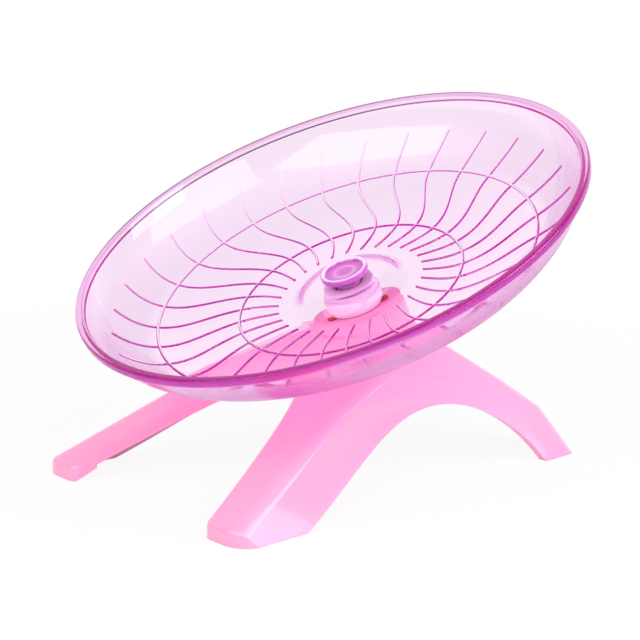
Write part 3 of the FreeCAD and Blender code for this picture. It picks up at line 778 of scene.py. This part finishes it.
@dataclass
class Hub:
    """Milky cap on its stem, pale bearing drum, crimson seat ring, ring nut, bearings and screw."""

    hub: HubFrame
    crown_level: float = -22.0
    neck_radius: float = 5.0
    neck_height: float = 1.2
    cap_radius: float = 8.35
    cap_height: float = 2.2
    cap_round: float = 0.5
    cap_lip: float = 1.1
    cap_recess: float = 0.9
    cap_sag: float = 0.3
    pip_radius: float = 0.6
    pip_height: float = 0.45
    pip_round: float = 0.15
    pip_skirt: float = 0.2
    stem_radius: float = 3.99
    stem_end: float = -42.3
    pilot_radius: float = 1.47
    pilot_top: float = -32.1
    fine_round: float = 0.1
    small_round: float = 0.3
    drum_radius: float = 9.7
    drum_taper: float = -32.0
    taper_round: float = 2.0
    drum_waist: float = 8.9
    drum_neck: float = 9.0
    drum_top: float = -25.2
    top_round: float = 0.6
    drum_shoulder: float = -27.6
    shoulder_round: float = 0.7
    foot_top: float = -35.9
    groove_top: float = -35.15
    groove_radius: float = 8.45
    foot_radius: float = 8.6
    pad_level: float = -36.3
    spigot_radius: float = 8.4
    spigot_end: float = -43.2
    seat_radius: float = 7.01
    mouth_round: float = 0.2
    lip_bore: float = 5.3
    lip_height: float = 0.6
    shoulder_bore: float = 5.6
    upper_seat: float = -30.2
    lower_seat: float = -38.4
    ring_radius: float = 8.75
    ring_width: float = 0.5
    ring_gap: float = 0.01
    ring_steps: int = 4
    ring_crease_deg: float = 60.0
    stud_radius: float = 1.45
    stud_reach: float = 10.1
    stud_level: float = -35.5
    stud_degs: tuple[float, ...] = (51.0, -112.0)
    stud_pole: float = 0.02
    stud_rows: int = 25
    stud_columns: int = 40
    columns: int = 128
    crease_deg: float = 40.0

    def cap(self) -> bpy.types.Object:
        """Turned cap: dished top with a moulding pip, a narrow neck and a long stem with a pilot hole."""
        under = self.crown_level + self.neck_height
        top = under + self.cap_height
        recess = top - self.cap_recess
        sag = recess - self.cap_sag
        pip = sag + self.pip_height
        inner = self.cap_radius - self.cap_lip
        profile = rounded_profile([
            (0, pip, 0), (self.pip_radius, pip, self.pip_round),
            (self.pip_radius + self.pip_skirt, sag, self.pip_skirt),
            (inner - self.cap_recess, recess, self.cap_round), (inner, top, self.small_round),
            (self.cap_radius, top, self.cap_round), (self.cap_radius, under, self.cap_round),
            (self.neck_radius, under, self.small_round), (self.neck_radius, self.crown_level, 0),
            (self.stem_radius, self.crown_level, 0), (self.stem_radius, self.stem_end, self.small_round),
            (self.pilot_radius, self.stem_end, self.fine_round),
            (self.pilot_radius, self.pilot_top, 0), (0, self.pilot_top, 0)])
        return self.hub.lathe("hub_cap_clear", profile, self.columns, self.crease_deg)

    def drum(self) -> bpy.types.Object:
        """Turned drum: stepped neck with a dust lip, tapered foot and spigot, bored for two bearings."""
        lip_under = self.drum_top - self.lip_height
        profile = rounded_profile([
            (self.seat_radius, self.spigot_end, self.mouth_round),
            (self.spigot_radius, self.spigot_end, self.small_round),
            (self.spigot_radius, self.pad_level, 0), (self.foot_radius, self.pad_level, self.fine_round),
            (self.foot_radius, self.foot_top, self.fine_round), (self.groove_radius, self.foot_top, 0),
            (self.groove_radius, self.groove_top, 0), (self.drum_waist, self.groove_top, self.small_round),
            (self.drum_radius, self.drum_taper, self.taper_round),
            (self.drum_radius, self.drum_shoulder, self.shoulder_round),
            (self.drum_neck, self.drum_shoulder, self.small_round),
            (self.drum_neck, self.drum_top, self.top_round),
            (self.lip_bore, self.drum_top, self.mouth_round),
            (self.lip_bore, lip_under, 0), (self.seat_radius, lip_under, 0),
            (self.seat_radius, self.upper_seat, 0), (self.shoulder_bore, self.upper_seat, self.fine_round),
            (self.shoulder_bore, self.lower_seat, self.fine_round), (self.seat_radius, self.lower_seat, 0)])
        return self.hub.lathe("bearing_drum", profile, self.columns, self.crease_deg)

    def seat_ring(self) -> bpy.types.Object:
        """Flat ring in the drum's groove, and a domed stud on each side of it to pull it off by.

        A stud is a ball sunk in the pad: its profile (radius sin p, radius cos p), with p from pole to
        pole, is carried round its own axis; the ring is a rounded bar carried round the hub's axis.

        Returns:
            The ring's object.
        """
        inner, low = self.groove_radius + self.ring_gap, self.foot_top + self.ring_gap
        high = self.foot_top + self.ring_width
        bar = rounded_profile([(inner, low, 0), (self.ring_radius, low, self.fine_round),
                               (self.ring_radius, high, self.fine_round), (inner, high, 0)], self.ring_steps)
        rise = np.linspace(self.stud_pole, math.pi - self.stud_pole, self.stud_rows)
        dome = self.stud_radius * np.stack([np.sin(rise), np.cos(rise)], 1)
        stud = turned_grid(dome, self.stud_columns)
        sides = np.radians(self.stud_degs)
        centres = np.stack([self.stud_reach * np.cos(sides), self.stud_reach * np.sin(sides),
                            np.full(len(sides), self.stud_level)], 1)
        grids = [(turned_grid(bar, self.columns), True)] + [(stud + centre, False) for centre in centres]
        points, faces = np.zeros((0, 3)), []
        for grid, closed in grids:
            faces += (grid_faces(*grid.shape[:2], closed) + len(points)).tolist()
            points = np.concatenate([points, grid.reshape(-1, 3)])
        return new_object("seat_ring_round", self.hub.place(points), faces, self.ring_crease_deg)

    def dress(self, nodes: dict[str, bpy.types.Object]) -> None:
        """Builds the turned pieces in place of their nodes, and finishes the bearings and fastenings."""
        put_in_place(self.cap(), CAP_MAGENTA, Body.SAUCER, "hub_cap")
        put_in_place(self.drum(), PALE_SATIN, Body.STAND, "bearing_housing")
        put_in_place(self.seat_ring(), CRIMSON, Body.STAND, "seat_ring")
        finishes = {"ring": STEEL, "shield": STEEL, "cage": CAGE, "balls": BALL_STEEL,
                    "spacer": TURNED_ALUMINIUM, "nut": PALE_SATIN, "washer": STEEL, "screw": STEEL}
        kept = {name: finish for name in nodes for end, finish in finishes.items()
                if name.endswith(end) and name != "seat_ring"}
        made = {finish.name: finish.material() for finish in dict.fromkeys(kept.values())}
        for name, finish in kept.items():
            finish_piece(nodes[name], made[finish.name])
            LOG.info("%s: %s", name, finish.name)


# The stand


@dataclass
class Stand:
    """Glossy pink stand with soft moulded edges."""

    merge: float = 0.02
    flat_deg: float = 0.6
    edge_round: float = 1.7
    edge_segments: int = 5
    crease_deg: float = 32.0

    def build(self, node: bpy.types.Object) -> bpy.types.Object:
        """The stand's own solid with its joined faces, and a live bevel that softens its edges."""
        mesh = node.data.copy()
        mesh.name = "stand_shell"
        shell = bmesh.new()
        shell.from_mesh(mesh)
        bmesh.ops.remove_doubles(shell, verts=shell.verts, dist=self.merge * MM)
        flat = math.radians(self.flat_deg)
        bmesh.ops.dissolve_limit(shell, angle_limit=flat, verts=shell.verts, edges=shell.edges)
        shell.to_mesh(mesh)
        shell.free()
        mesh.shade_smooth()
        obj = bpy.data.objects.new("stand_shell", mesh)
        bpy.context.scene.collection.objects.link(obj)
        bevel = obj.modifiers.new("soft_edges", "BEVEL")
        bevel.width = self.edge_round * MM
        bevel.segments = self.edge_segments
        bevel.limit_method = "ANGLE"
        bevel.angle_limit = math.radians(self.crease_deg)
        bevel.harden_normals = True
        return obj

    def dress(self, nodes: dict[str, bpy.types.Object]) -> None:
        """Builds the stand in place of its node and gives it its glossy finish."""
        put_in_place(self.build(nodes["stand"]), PINK_GLOSS, Body.STAND, "stand")


# The studio


@dataclass(frozen=True)
class Softbox:
    """Rectangular lamp that looks at the object from a direction; its sizes are metres."""

    name: str
    azimuth_deg: float
    elevation_deg: float
    width: float
    height: float
    radiance: float
    distance: float = 1.3

    def build(self, target: Vector) -> None:
        """Lamp whose power is radiance x pi x area, unseen by the camera and through the clear plastic."""
        azimuth, elevation = math.radians(self.azimuth_deg), math.radians(self.elevation_deg)
        level = math.cos(elevation)
        towards = Vector((math.sin(azimuth) * level, -math.cos(azimuth) * level, math.sin(elevation)))
        lamp = bpy.data.lights.new(self.name, "AREA")
        lamp.shape = "RECTANGLE"
        lamp.size, lamp.size_y = self.width, self.height
        lamp.energy = self.radiance * math.pi * self.width * self.height
        obj = bpy.data.objects.new(self.name, lamp)
        obj.location = target + towards * self.distance
        obj.rotation_euler = towards.to_track_quat("Z", "Y").to_euler()
        obj.visible_camera = False
        obj.visible_transmission = False
        bpy.context.scene.collection.objects.link(obj)


@dataclass
class Studio:
    """Pale floor, white surroundings, three softboxes and the camera; floor and lamps are in metres."""

    ambient: float = 0.36
    room: float = 0.18
    backdrop_side: Point = (-0.72, 0.63, -0.3)
    backdrop_edge: tuple[float, float] = (-0.1, 0.65)
    first_bounce: float = 0.5
    bounces: int = 96
    floor_half: float = 4.0
    floor_tone: Tone = (0.86, 0.86, 0.86)
    floor_glow: float = 0.92
    floor_fade: tuple[float, float] = (0.1, 0.4)
    camera_at: Point = (460.5, -407.44, 188.24)
    camera_right: Point = (0.65875, 0.75228, 0.01055)
    camera_up: Point = (-0.17157, 0.13656, 0.97566)
    camera_back: Point = (0.73253, -0.64454, 0.21903)
    lens: float = 104.68
    sensor: float = 36.0
    clip: tuple[float, float] = (0.01, 50.0)
    lit_point: Point = (0.0, 0.0, 0.06)
    boxes: tuple[Softbox, ...] = (
        Softbox("softbox_right", azimuth_deg=95, elevation_deg=46, width=1.2, height=0.95, radiance=2.65),
        Softbox("softbox_left", azimuth_deg=4, elevation_deg=38, width=1.5, height=0.8, radiance=2.7),
        Softbox("softbox_back", azimuth_deg=124, elevation_deg=28, width=0.75, height=0.75, radiance=3.2),
    )

    def seen_white(self, nodes: Nodes) -> bpy.types.NodeSocket:
        """One for rays from the camera, from gloss and through clear plastic, before any diffuse bounce."""
        path = nodes.add("ShaderNodeLightPath").outputs
        seen = path[Ray.CAMERA.value]
        for kind in (Ray.GLOSSY, Ray.TRANSMISSION):
            seen = nodes.calc("MAXIMUM", seen, path[kind.value])
        first = nodes.calc("LESS_THAN", path["Diffuse Depth"], self.first_bounce)
        return nodes.calc("MULTIPLY", seen, first)

    def world(self) -> None:
        """White surroundings at a strength of one where they are seen, and a low even light elsewhere.

        Gloss sees the white backdrop behind the object and a dimmer room on the camera's side: the
        backdrop's share is a smooth step of how far a direction points away from the camera.
        """
        world = bpy.data.worlds.new("white_surroundings")
        world.use_nodes = True
        nodes = Nodes(world.node_tree)
        towards = nodes.add("ShaderNodeTexCoord").outputs["Generated"]
        away = nodes.add("ShaderNodeVectorMath", {0: towards, 1: self.backdrop_side},
                         operation="DOT_PRODUCT")
        room = nodes.add("ShaderNodeMapRange", {"Value": away.outputs["Value"]},
                         From_Min=self.backdrop_edge[0], From_Max=self.backdrop_edge[1],
                         To_Min=self.room, To_Max=1.0, interpolation_type="SMOOTHSTEP")
        glossy = nodes.add("ShaderNodeLightPath").outputs[Ray.GLOSSY.value]
        terms = {"Factor": glossy, MIX_NUMBERS[0]: 1.0, MIX_NUMBERS[1]: room.outputs[0]}
        shown = nodes.add("ShaderNodeMix", terms, data_type="FLOAT")
        strength = nodes.add("ShaderNodeMapRange",
                             {"Value": self.seen_white(nodes), "To Max": shown.outputs[0]},
                             To_Min=self.ambient)
        sky = nodes.add("ShaderNodeBackground", {"Strength": strength.outputs[0]}, Color=(*WHITE, 1))
        nodes.add("ShaderNodeOutputWorld", {"Surface": sky.outputs[0]})
        bpy.context.scene.world = world

    def floor(self) -> None:
        """Pale floor: white where it is seen, with a share of plain diffuse that keeps the shadow.

        The share falls off away from the object, and is nil where the floor is seen through clear plastic.
        """
        half = self.floor_half
        corners = np.array([[-half, -half, 0], [half, -half, 0], [half, half, 0], [-half, half, 0]])
        floor = new_object("floor", corners, [[0, 1, 2, 3]])
        material, nodes = new_material("pale_floor")
        matt = nodes.add("ShaderNodeBsdfDiffuse", Color=(*self.floor_tone, 1))
        glow = nodes.add("ShaderNodeEmission", Color=(*WHITE, 1), Strength=1.0)
        place = nodes.add("ShaderNodeTexCoord").outputs["Object"]
        away = nodes.add("ShaderNodeVectorMath", {0: place}, operation="LENGTH")
        glow_share = nodes.add("ShaderNodeMapRange", {"Value": away.outputs["Value"]},
                               From_Min=self.floor_fade[0], From_Max=self.floor_fade[1],
                               To_Min=self.floor_glow, To_Max=1.0, interpolation_type="SMOOTHSTEP")
        through = nodes.add("ShaderNodeLightPath").outputs[Ray.TRANSMISSION.value]
        white = nodes.calc("MAXIMUM", glow_share.outputs[0], through)
        share = nodes.calc("MULTIPLY", self.seen_white(nodes), white)
        mix = nodes.add("ShaderNodeMixShader", {0: share, 1: matt.outputs[0], 2: glow.outputs[0]})
        nodes.add("ShaderNodeOutputMaterial", {"Surface": mix.outputs[0]})
        finish_piece(floor, material)

    def camera(self) -> None:
        """Camera at the photograph's viewpoint, from its right, up and back directions."""
        data = bpy.data.cameras.new("camera")
        data.lens = self.lens
        data.sensor_width = self.sensor
        data.clip_start, data.clip_end = self.clip
        obj = bpy.data.objects.new("camera", data)
        turn = Matrix((self.camera_right, self.camera_up, self.camera_back)).transposed()
        obj.matrix_world = Matrix.Translation(Vector(self.camera_at) * MM) @ turn.to_4x4()
        bpy.context.scene.collection.objects.link(obj)
        bpy.context.scene.camera = obj

    def build(self) -> None:
        """Sets the stage: view transform, bounces, world, floor, lamps and camera."""
        scene = bpy.context.scene
        scene.view_settings.view_transform = "Standard"
        scene.cycles.max_bounces = self.bounces
        scene.cycles.glossy_bounces = self.bounces
        scene.cycles.transmission_bounces = self.bounces
        self.world()
        self.floor()
        for box in self.boxes:
            box.build(Vector(self.lit_point))
        self.camera()


def main() -> None:
    """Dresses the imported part: dish, hub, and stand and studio."""
    logging.basicConfig(level=logging.INFO, format="%(name)s: %(message)s")
    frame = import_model()
    hub = HubFrame()
    RunningDish(hub).dress()
    Hub(hub).dress(frame["nodes"])
    Stand().dress(frame["nodes"])
    Studio().build()


if __name__ == "__main__":
    main()
